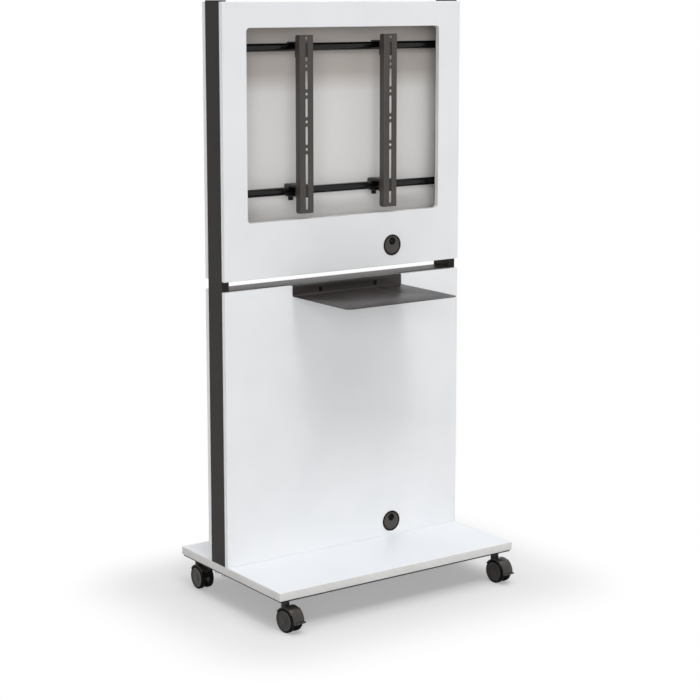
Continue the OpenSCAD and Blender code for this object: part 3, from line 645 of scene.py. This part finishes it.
def cut_out(piece, tool):
    """Takes a tool's shape out of a piece, and removes the tool."""
    modify(piece, "BOOLEAN", object=tool, operation="DIFFERENCE", solver="EXACT")
    bpy.data.objects.remove(tool)


def second_finish(piece, finish, test):
    """Gives another finish to the faces whose middle passes the test."""
    piece.data.materials.append(finish)
    for face in piece.data.polygons:
        if test(face.center):
            face.material_index = 1


print("edges smoother than", round(math.degrees(SMOOTH_ANGLE)), "degrees are shaded round")

# %% [markdown]
# The arms are U channels folded from sheet steel, with holes and slots punched in their front. A
# fold has a radius of about the sheet's thickness, so the two front corners are bevelled wide. The
# punched edges only lose their burr.

# %% Arms
FOLD_RADIUS = 1.6 * MM
BURR = 0.25 * MM


def make_arm(side):
    low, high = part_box(f"{side}_arm")
    arm = copy_of_solid(f"{side}_arm", f"{side}_channel")
    middle = (low.x + high.x) / 2
    half = (high.x - low.x) / 2

    def is_fold(centre, along):
        at_side = abs(abs(centre.x - middle) - half) < MERGE
        return at_side and abs(centre.y - low.y) < MERGE and abs(along.z) > UPRIGHT

    pick(arm, "EDGE", is_fold)
    bpy.ops.mesh.bevel(offset=FOLD_RADIUS, segments=4, affect="EDGES")
    break_edges(arm, BURR, segments=1, angle=50)
    return hand_over(arm, ARM_COAT, f"{side}_arm_set", "taupe_paint", f"{side}_arm")


arms = [make_arm(side) for side in ("left", "right")]
print("corners in an arm:", [len(arm.data.vertices) for arm in arms])

# %% [markdown]
# The hooks are cut from thick strip and coated darker than the arms. Laser cutting leaves square
# edges that are ground before coating, so a rounding of half a millimetre catches enough light.
# The tubes' sockets and the posts' caps are moulded, and are softened in the same way.

# %% Hooks, tube sockets and post caps
GROUND_EDGE = 0.5 * MM


def soften(node, name, finish, body, slot, width, segments=2):
    """A copy of a solid with its edges rounded, which then stands for it."""
    piece = copy_of_solid(node, name)
    break_edges(piece, width, segments)
    return hand_over(piece, finish, body, slot, node)


for side in ("left", "right"):
    soften(f"{side}_arm_hooks", f"{side}_hooks", HOOK_COAT, f"{side}_arm_set", "black_steel",
           GROUND_EDGE)
soften("tube_sockets", "tube_collars", BLACK_PLASTIC, "cart", "black_plastic", GROUND_EDGE)
soften("post_caps", "post_end_caps", BLACK_PLASTIC, "cart", "black_plastic", GROUND_EDGE,
       segments=3)
print("softened with", GROUND_EDGE / MM, "mm")

# %% [markdown]
# The laptop shelf is one sheet with two folds. Its own copy is enough: the folds are already round
# in the solid, and only the cut edges need breaking.

# %% Laptop shelf
SHELF_EDGE = 0.3 * MM

shelf = soften("laptop_shelf", "shelf_sheet", SHELF_COAT, "cart", "anthracite", SHELF_EDGE)
print("shelf in metres:", [round(side, 3) for side in shelf.dimensions])

# %% [markdown]
# The two slots of the shelf's upstand are black, though the panel behind them is white: in the
# narrow gap it lies in deeper shade than these lamps give. So a strip of black rubber lies between
# the sheet and the panel as painted shade. It is a bar with soft edges, a little thinner than the
# gap that it fills.

# %% Shade strip behind the shelf
SHADE_STRIP_T = 0.7 * MM
SHADE_STRIP_H = 24 * MM
SHADE_STRIP_RISE = 3 * MM
SHADE_STRIP_SHORTER = 8 * MM
SHADE_STRIP_GAP = 0.1 * MM
SHADE_STRIP_ROUNDING_SHARE = 0.3

shelf_low, shelf_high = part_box("laptop_shelf")
panel_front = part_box("front_lower_panel")[0].y
# a black strip as painted shade in the slots of the shelf's upstand
painted_shade = start("shelf_shade_strip", bpy.ops.mesh.primitive_cube_add, size=1,
             location=((shelf_low.x + shelf_high.x) / 2, panel_front - SHADE_STRIP_T / 2 - SHADE_STRIP_GAP,
                       shelf_low.z + SHADE_STRIP_RISE + SHADE_STRIP_H / 2),
             scale=(shelf_high.x - shelf_low.x - SHADE_STRIP_SHORTER, SHADE_STRIP_T, SHADE_STRIP_H))
apply_place()
break_edges(painted_shade, SHADE_STRIP_T * SHADE_STRIP_ROUNDING_SHARE)
hand_over(painted_shade, RUBBER, "cart", "rubber")
print("foam strip, corners:", len(painted_shade.data.vertices))

# %% [markdown]
# The edge band of the base is rounded on its outer edges, where people bump into it, and flush
# with the board on the inside. So only the outer top and bottom edges are picked for the bevel.

# %% Base edge band
BAND_RADIUS = 1.1 * MM
BAND_OUTSIDE = 1.2 * MM

band_low, band_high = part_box("base_edging")
band = copy_of_solid("base_edging", "base_band")


def is_outer_edge(centre, along):
    """A level edge that lies close to the band's outline."""
    past_x = max(band_low.x - centre.x, centre.x - band_high.x) > -BAND_OUTSIDE
    past_y = max(band_low.y - centre.y, centre.y - band_high.y) > -BAND_OUTSIDE
    return (past_x or past_y) and abs(along.z) < LEVEL


pick(band, "EDGE", is_outer_edge)
bpy.ops.mesh.bevel(offset=BAND_RADIUS, segments=3, affect="EDGES")
hand_over(band, BASE_BAND, "cart", "grey_edge", "base_edging")
print("faces in the band:", len(band.data.polygons))

# %% [markdown]
# A castor wheel is turned in shape, so its section is drawn once and spun round the axle. The
# section is traced by extruding one corner from point to point, as by hand. Its outer face has a
# rounded rim, a shallow dish and a hub cap in a groove. The rim is covered by the tread's black
# rubber, so the disc is light in the middle and dark round its edge, as in the photograph.

# %% Tracing and spinning a section
PLANE_SIZE = 2 * MM
DISC_STEPS = 72
TREAD_STEPS = 96


def traced(name, points):
    """A line through points, made from one corner of a plane, and left in edit mode."""
    line = start(name, bpy.ops.mesh.primitive_plane_add, size=PLANE_SIZE)
    work_on(line, "EDIT")
    bpy.ops.mesh.select_mode(type="VERT")
    pick(line, "VERT", lambda place, normal: place.x > 0 or place.y > 0)
    bpy.ops.mesh.delete(type="VERT")
    bpy.ops.mesh.select_all(action="SELECT")
    kept_corner = Vector((-PLANE_SIZE / 2, -PLANE_SIZE / 2, 0))
    bpy.ops.transform.translate(value=Vector(points[0]) - kept_corner)
    for one, other in zip(points, points[1:]):
        move = Vector(other) - Vector(one)
        bpy.ops.mesh.extrude_vertices_move(TRANSFORM_OT_translate={"value": move})
    return line


def spun(line, steps):
    """Spins a traced line once round the X axis, closes the seam and turns its faces outwards."""
    bpy.ops.mesh.select_all(action="SELECT")
    bpy.ops.mesh.spin(steps=steps, angle=math.tau, center=(0, 0, 0), axis=(1, 0, 0))
    bpy.ops.mesh.select_all(action="SELECT")
    bpy.ops.mesh.remove_doubles(threshold=MERGE)
    bpy.ops.mesh.normals_make_consistent(inside=False)
    bpy.ops.object.mode_set(mode="OBJECT")
    return line


def round_axle(*section):
    """Points of a section, each given as millimetres from the axle and along it."""
    return [(along * MM, 0, away * MM) for away, along in section]


print("sides of a wheel disc and of a tread:", DISC_STEPS, TREAD_STEPS)

# %% Wheel disc
RIM_STARTS = 30.2 * MM

disc = spun(traced("wheel_disc", round_axle(
    (0, 22.7), (4, 22.65), (7.5, 22.45), (10.2, 22.1), (11.2, 21.7), (11.5, 21.0), (12.3, 21.0),
    (12.6, 21.4), (14, 21.35), (20, 21.2), (26, 21.35), (28.2, 21.6), (29, 22.1), (29.7, 22.7),
    (30.6, 22.95), (31.6, 22.8), (33, 22.2), (34.1, 21.8), (34.5, 21.4), (34.5, 7.5), (31, 7.5),
    (30.5, 8), (30.5, 18), (8, 18), (8, 6.5), (7.5, 6), (4.5, 6), (4.05, 6.5), (4.05, 19.5),
    (0, 19.5),
)), DISC_STEPS)
disc.data.materials.append(CASTOR_PLASTIC)
second_finish(disc, RUBBER, lambda place: math.hypot(place.y, place.z) > RIM_STARTS)
print("wheel disc, corners:", len(disc.data.vertices),
      "size:", [round(side, 4) for side in disc.dimensions])

# %% [markdown]
# The tread is a rubber band moulded on the rim. Its corners are round, and the two halves of the
# mould leave a fine line in the middle of the running face.

# %% Tread
RIM_R = 34.5
TREAD_R = 37.5
TREAD_ROUND = 2.5
TREAD_LEFT = 7.5
TREAD_RIGHT = 21.5
MOULD_LINE = ((0, 14.2), (0.2, 14.4), (0.2, 14.6), (0, 14.8))


def tread_section():
    """From the rim's left side over the running face to its right side, in millimetres."""
    turns = [math.radians(turn) for turn in (0, 22.5, 45, 67.5, 90)]
    up = [(TREAD_R - TREAD_ROUND * (1 - math.sin(turn)),
           TREAD_LEFT + TREAD_ROUND * (1 - math.cos(turn))) for turn in turns]
    line = [(TREAD_R - depth, along) for depth, along in MOULD_LINE]
    down = [(away, TREAD_LEFT + TREAD_RIGHT - along) for away, along in reversed(up)]
    start_and_end = (RIM_R, TREAD_LEFT)
    return [start_and_end, *up, *line, *down, (RIM_R, TREAD_RIGHT), start_and_end]


tread = spun(traced("wheel_tread", round_axle(*tread_section())), TREAD_STEPS)
print("tread, corners:", len(tread.data.vertices),
      "size:", [round(side, 4) for side in tread.dimensions])

# %% [markdown]
# The wheels are copied to the eight places that the model's own joints give: each roller's hinge
# has a point on the axle and a direction. A wheel on the other side of its castor is the same
# piece, turned half round.

# %% Eight wheels
joint_of = {joint["name"]: joint for joint in frame["joints"]}


def axle_place(corner):
    """The middle of a castor's axle, with its turn round the upright axis."""
    hinge = joint_of[f"{corner}_outer_spin"]
    turn = math.atan2(hinge["axis"][1], hinge["axis"][0])
    return Matrix.Translation(hinge["pos_m"]) @ Matrix.Rotation(turn, 4, "Z")


for corner in CASTORS:
    for place in ("outer", "inner"):
        node = f"{corner}_{place}_wheel"
        low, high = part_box(node)
        side = (axle_place(corner).inverted() @ ((low + high) / 2)).x
        half_turn = Matrix.Rotation(0 if side > 0 else math.pi, 4, "Z")
        where = axle_place(corner) @ half_turn
        body = f"{corner}_{place}_roller"
        hand_over(placed_copy(disc, f"{corner}_{place}_disc", where), None, body,
                  "taupe_plastic", node)
        hand_over(placed_copy(tread, f"{corner}_{place}_tyre", where), RUBBER, body,
                  "rubber", f"{corner}_{place}_tread")
for pattern in (disc, tread):
    bpy.data.objects.remove(pattern)
print("wheels:", 2 * len(CASTORS))

# %% [markdown]
# The housing of a castor is one moulding: a neck for the swivel pin, a hood over both wheels and
# two cheeks on the axle. Mouldings have no sharp edge anywhere, because the tool is milled, so its
# copy gets a wider rounding than the steel parts. The brake pedal is made the same way, and has
# grip ribs on its step.

# %% Housings
MOULD_RADIUS = 0.7 * MM

for corner in CASTORS:
    soften(f"{corner}_housing", f"{corner}_hood", HOOD_PLASTIC, f"{corner}_swivel",
           "black_plastic", MOULD_RADIUS, segments=3)
print("housings:", len(CASTORS))

# %% Brake pedals
PEDAL_RADIUS = 0.5 * MM
STEP_FRONT = 2 * MM
RIBS = 3
FIRST_RIB = 1.4 * MM
RIB_PITCH = 1.9 * MM
RIB_LENGTH = 34 * MM
RIB_WIDTH = 0.9 * MM
RIB_HEIGHT = 0.5 * MM
RIB_ROUNDING_SHARE = 0.4


def make_ribs(corner, step_top, step_front):
    """Low bars across the step, with round tops, in the castor's own directions."""
    bars = []
    for count in range(RIBS):
        bar = start(f"rib_{count}", bpy.ops.mesh.primitive_cube_add, size=1,
                    location=(0, step_front + FIRST_RIB + RIB_PITCH * count, step_top),
                    scale=(RIB_LENGTH, RIB_WIDTH, 2 * RIB_HEIGHT))
        apply_place()
        break_edges(bar, RIB_WIDTH * RIB_ROUNDING_SHARE)
        bars.append(bar)
    ribs = bars[0]
    join(ribs, *bars[1:])
    ribs.name = ribs.data.name = f"{corner}_pedal_ribs"
    ribs.data.transform(axle_place(corner))
    return ribs


for corner in ("front_left", "front_right"):
    body = f"{corner}_pedal"
    soften(f"{corner}_brake", f"{corner}_step", HOOD_PLASTIC, body, "taupe_plastic", PEDAL_RADIUS)
    local = [axle_place(corner).inverted() @ v.co for v in nodes[f"{corner}_brake"].data.vertices]
    front = min(point.y for point in local)
    heights = [point.z for point in local if point.y < front + STEP_FRONT]
    hand_over(make_ribs(corner, max(heights), front), HOOD_PLASTIC, body, "taupe_plastic")
    print(corner, "step is", round((max(heights) - min(heights)) / MM, 2), "mm thick")

# %% [markdown]
# A lock screw is a steel screw in a moulded knob with grip flutes. The knob is turned by hand, so
# its edges are well rounded. Both materials are on one piece: the faces above the knob get the
# metal.

# %% Lock screws
KNOB_HEIGHT = 11.05 * MM
KNOB_RADIUS = 0.6 * MM


def make_lock(side):
    node = f"{side}_lock_screw"
    knob_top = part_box(node)[0].z + KNOB_HEIGHT
    lock = soften(node, f"{side}_lock_knob", BLACK_PLASTIC, f"{side}_lock", "black_plastic",
                  KNOB_RADIUS)
    second_finish(lock, ZINC, lambda place: place.z > knob_top)
    return lock


locks = [make_lock(side) for side in ("left", "right")]
print("knobs:", [lock.name for lock in locks])

# %% [markdown]
# A cable grommet is a ring in the panel with a cap that turns in it. Both are small mouldings, so
# they are softened as the castors are, with a finer radius.

# %% Grommets
GROMMETS = ("upper", "lower")
RING_EDGE = 0.3 * MM
CAP_EDGE = 0.4 * MM

for level in GROMMETS:
    soften(f"{level}_grommet", f"{level}_ring", BLACK_PLASTIC, "cart", "black_plastic", RING_EDGE)
    soften(f"{level}_grommet_cap", f"{level}_ring_cap", CAP_PLASTIC, f"{level}_cap",
           "taupe_plastic", CAP_EDGE, segments=3)
print("grommets:", len(GROMMETS))

# %% [markdown]
# The hole in a cap shows black, though these lamps light the column behind it: it lies in deeper
# shade than they give. So the hole is closed by a black rubber membrane with a cross cut, as
# painted shade. It is a thin round plate behind the cap, with two slits cut through it.

# %% Shade membranes in the caps
SHADE_MEMBRANE_R = 14.2 * MM
SHADE_MEMBRANE_T = 0.8 * MM
SHADE_MEMBRANE_GAP = 0.05 * MM
SHADE_MEMBRANE_SIDES = 64
SHADE_MEMBRANE_EDGE = 0.08 * MM
SHADE_MEMBRANE_SLIT = (20 * MM, 4 * MM, 0.3 * MM)
CABLE_HOLE_RISE = 12.5 * MM

for level in GROMMETS:
    cap_low, cap_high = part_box(f"{level}_grommet_cap")
    cap_middle = (cap_low + cap_high) / 2
    hole = Vector((cap_middle.x, cap_high.y, cap_middle.z + CABLE_HOLE_RISE))
    # a black disc as painted shade in the cap's cable hole
    shade_membrane = start(f"{level}_membrane", bpy.ops.mesh.primitive_cylinder_add,
                     vertices=SHADE_MEMBRANE_SIDES, radius=SHADE_MEMBRANE_R, depth=SHADE_MEMBRANE_T,
                     location=hole + Vector((0, SHADE_MEMBRANE_T / 2 + SHADE_MEMBRANE_GAP, 0)),
                     rotation=(math.pi / 2, 0, 0))
    apply_place()
    for turn in (math.pi / 4, -math.pi / 4):
        cut_out(shade_membrane, start("slit", bpy.ops.mesh.primitive_cube_add, size=1, location=hole,
                                rotation=(0, turn, 0), scale=SHADE_MEMBRANE_SLIT))
    break_edges(shade_membrane, SHADE_MEMBRANE_EDGE, segments=1)
    hand_over(shade_membrane, RUBBER, f"{level}_cap", "rubber")
print("membrane, corners:", len(shade_membrane.data.vertices))

# %% [markdown]
# The shelf's screws are countersunk, with a cross recess for the driver. The head starts as a
# cone, the shank is pulled down out of its lower face, and two crossed bars are cut out of its
# top, so that the recess shows as a dark mark even from far away. All screws of a kind are one
# node, so their places are read from its corners.

# %% Places of the shelf screws
SAME_HEIGHT = 0.2 * MM
SAME_SCREW = 12 * MM


def head_places(node, level):
    """The middles of the separate screws of a node, from the corners near a height."""
    groups = []
    for point in (v.co for v in nodes[node].data.vertices if abs(v.co.z - level) < SAME_HEIGHT):
        for group in groups:
            if (group[0] - point).length < SAME_SCREW:
                group.append(point)
                break
        else:
            groups.append([point])
    return [Vector([(min(along) + max(along)) / 2 for along in zip(*group)]) for group in groups]


screws_low, screws_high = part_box("shelf_screws")
screw_places = head_places("shelf_screws", screws_high.z)
print("shelf screws:", [[round(c, 3) for c in place] for place in screw_places])

# %% Countersunk screws
HEAD_SIDES = 32
HEAD_R = 4.25 * MM
SHANK_R = 2 * MM
HEAD_H = 2 * MM
CROSS_LENGTH = 5 * MM
CROSS_ARM = 0.8 * MM
CROSS_DEPTH = 1.2 * MM
BAR_EDGE_SHARE = 0.0001


def pull_out(length):
    """In edit mode, extrudes what is selected along Z, and goes back to object mode."""
    bpy.ops.mesh.extrude_region_move(TRANSFORM_OT_translate={"value": (0, 0, length)})
    bpy.ops.object.mode_set(mode="OBJECT")


def countersunk_screw():
    """A screw with its head's top on z = 0."""
    screw = start("countersunk", bpy.ops.mesh.primitive_cone_add, vertices=HEAD_SIDES,
                  radius1=SHANK_R, radius2=HEAD_R, depth=HEAD_H, location=(0, 0, -HEAD_H / 2))
    apply_place()
    work_on(screw, "EDIT")
    pick(screw, "FACE", lambda place, normal: normal.z < -FACING)
    pull_out(screws_low.z - screws_high.z + HEAD_H)
    for turn in (0, math.pi / 2):
        bar = start("bar", bpy.ops.mesh.primitive_cube_add, size=1, rotation=(0, 0, turn),
                    scale=(CROSS_LENGTH, CROSS_ARM, 2 * CROSS_DEPTH))
        break_edges(bar, BAR_EDGE_SHARE, segments=1)
        cut_out(screw, bar)
    return screw


def set_in(pattern, places, level, name, finish, slot, node):
    """Puts a copy of a pattern in each place of a node. The first one stands for the node."""
    copies = []
    for count, place in enumerate(places):
        where = Matrix.Translation((place.x, place.y, level))
        copies.append(placed_copy(pattern, f"{name}_{count}", where))
        hand_over(copies[-1], finish, "cart", slot, *([node] if count == 0 else []))
    bpy.data.objects.remove(pattern)
    return copies


screws = set_in(countersunk_screw(), screw_places, screws_high.z, "shelf_screw", BLACK_STEEL,
                "black_steel", "shelf_screws")
print("corners in a screw:", len(screws[0].data.vertices))

# %% [markdown]
# Under the base, each post is held by two bolts. Their heads are hexagons on a washer. The head
# starts as a six-sided cylinder with a raised face at its lower end. The washer starts as a round
# one, and the shank is pulled up out of it.
#
# A fault is left here. The solid's heads are 14 mm wide, more than SAME_SCREW, so each is read as
# three places a few millimetres apart. Twelve bolts are made where the cart has four, and they
# overlap in threes. They lie under the base, where only a low view shows their heads.

# %% Foot bolts
HEX_R = 6.51 * MM
BOLT_HEAD_H = 5 * MM
FACE_INSET = 0.8 * MM
FACE_RISE = 0.3 * MM
WASHER_R = 7 * MM
WASHER_H = 1.2 * MM
WASHER_SIDES = 40
WASHER_RIM = 3 * MM
BOLT_EDGE = 0.15 * MM

bolts_low, bolts_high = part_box("foot_bolts")
bolt_places = head_places("foot_bolts", bolts_low.z)


def hex_bolt():
    """A bolt with its head's lower face on z = 0 and its shank upwards."""
    head_h = BOLT_HEAD_H - WASHER_H
    bolt = start("hex_bolt", bpy.ops.mesh.primitive_cylinder_add, vertices=6, radius=HEX_R,
                 depth=head_h, location=(0, 0, head_h / 2))
    apply_place()
    work_on(bolt, "EDIT")
    pick(bolt, "FACE", lambda place, normal: normal.z < -FACING)
    bpy.ops.mesh.inset(thickness=FACE_INSET)
    bpy.ops.transform.translate(value=(0, 0, -FACE_RISE))
    bpy.ops.object.mode_set(mode="OBJECT")
    washer = start("washer", bpy.ops.mesh.primitive_cylinder_add, vertices=WASHER_SIDES,
                   radius=WASHER_R, depth=WASHER_H,
                   location=(0, 0, BOLT_HEAD_H - WASHER_H / 2))
    apply_place()
    work_on(washer, "EDIT")
    pick(washer, "FACE", lambda place, normal: normal.z > FACING)
    bpy.ops.mesh.inset(thickness=WASHER_RIM)
    pull_out(bolts_high.z - bolts_low.z - BOLT_HEAD_H)
    join(bolt, washer)
    bolt.data.transform(Matrix.Translation((0, 0, FACE_RISE)))
    break_edges(bolt, BOLT_EDGE, segments=1)
    return bolt


bolts = set_in(hex_bolt(), bolt_places, bolts_low.z, "foot_bolt", ZINC, "plain_steel",
               "foot_bolts")
print("foot bolts made:", len(bolts))

# %% [markdown]
# The studio floor is white paper. It could be a plain white plane, but the photograph's floor is
# pale grey only near the cart and runs out to pure white, and the shade under the base is light.
# So the paper takes part of its tone from a glow that only direct sight and mirrors see, which
# leaves the shadow on it. With the distance from the base board it turns into pure white.

# %% Floor
FLOOR_SIZE = 60
FLOOR_TILES = 4
PAPER_TONE = 0.54
PAPER_GLOW = 0.335
PAPER_FOR_LIGHT = 0.6
FADE_START = 0.05
FADE_END = 0.44

base_low, base_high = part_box("base_edging")
base_middle = (base_low + base_high) / 2
floor = start("studio_floor", bpy.ops.mesh.primitive_grid_add, size=FLOOR_SIZE,
              x_subdivisions=FLOOR_TILES, y_subdivisions=FLOOR_TILES)
floor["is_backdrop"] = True


def distance_from_base(paper):
    """How far a point of the floor lies outside the base board's outline, in metres."""
    tree = paper.node_tree
    beside = []
    for axis in (0, 1):
        off = maths(tree, "SUBTRACT", split_place(paper, axis), base_middle[axis])
        half = (base_high[axis] - base_low[axis]) / 2
        out = maths(tree, "SUBTRACT", maths(tree, "ABSOLUTE", off), half)
        out = maths(tree, "MAXIMUM", out, 0)
        beside.append(maths(tree, "MULTIPLY", out, out))
    return maths(tree, "SQRT", maths(tree, "ADD", *beside))


def paper_finish():
    paper = bpy.data.materials.new("studio_paper")
    paper.use_nodes = True
    tree = paper.node_tree
    tree.nodes.clear()
    fade = tree.nodes.new("ShaderNodeMapRange")
    fade.interpolation_type = "SMOOTHERSTEP"
    fade.inputs["From Min"].default_value = FADE_START
    fade.inputs["From Max"].default_value = FADE_END
    tree.links.new(distance_from_base(paper), fade.inputs["Value"])
    seen = seen_directly(tree)
    lit = tree.nodes.new("ShaderNodeBsdfDiffuse")
    tone = between(paper, seen, PAPER_FOR_LIGHT, PAPER_TONE, start=0, end=1)
    tree.links.new(tone, lit.inputs["Color"])
    glow = tree.nodes.new("ShaderNodeEmission")
    tree.links.new(maths(tree, "MULTIPLY", seen, PAPER_GLOW), glow.inputs["Strength"])
    near = tree.nodes.new("ShaderNodeAddShader")
    tree.links.new(lit.outputs[0], near.inputs[0])
    tree.links.new(glow.outputs[0], near.inputs[1])
    white = tree.nodes.new("ShaderNodeEmission")
    mix = tree.nodes.new("ShaderNodeMixShader")
    tree.links.new(maths(tree, "MULTIPLY", fade.outputs["Result"], seen), mix.inputs[0])
    tree.links.new(near.outputs[0], mix.inputs[1])
    tree.links.new(white.outputs[0], mix.inputs[2])
    out = tree.nodes.new("ShaderNodeOutputMaterial")
    tree.links.new(mix.outputs[0], out.inputs["Surface"])
    return paper


floor.data.materials.append(paper_finish())
print("floor fades to white from", FADE_START, "to", FADE_END, "m beside the base")

# %% [markdown]
# Last come the sizes: how far the dressed cart stands out past the box of the imported model is
# printed.

# %% Sizes and the end
visual_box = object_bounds()
below = [cad - seen for cad, seen in zip(cad_box[0], visual_box[0])]
above = [seen - cad for cad, seen in zip(cad_box[1], visual_box[1])]
grown = [round(max(ends) / MM, 3) for ends in zip(below, above)]
print("the visual model stands out by", grown, "mm")
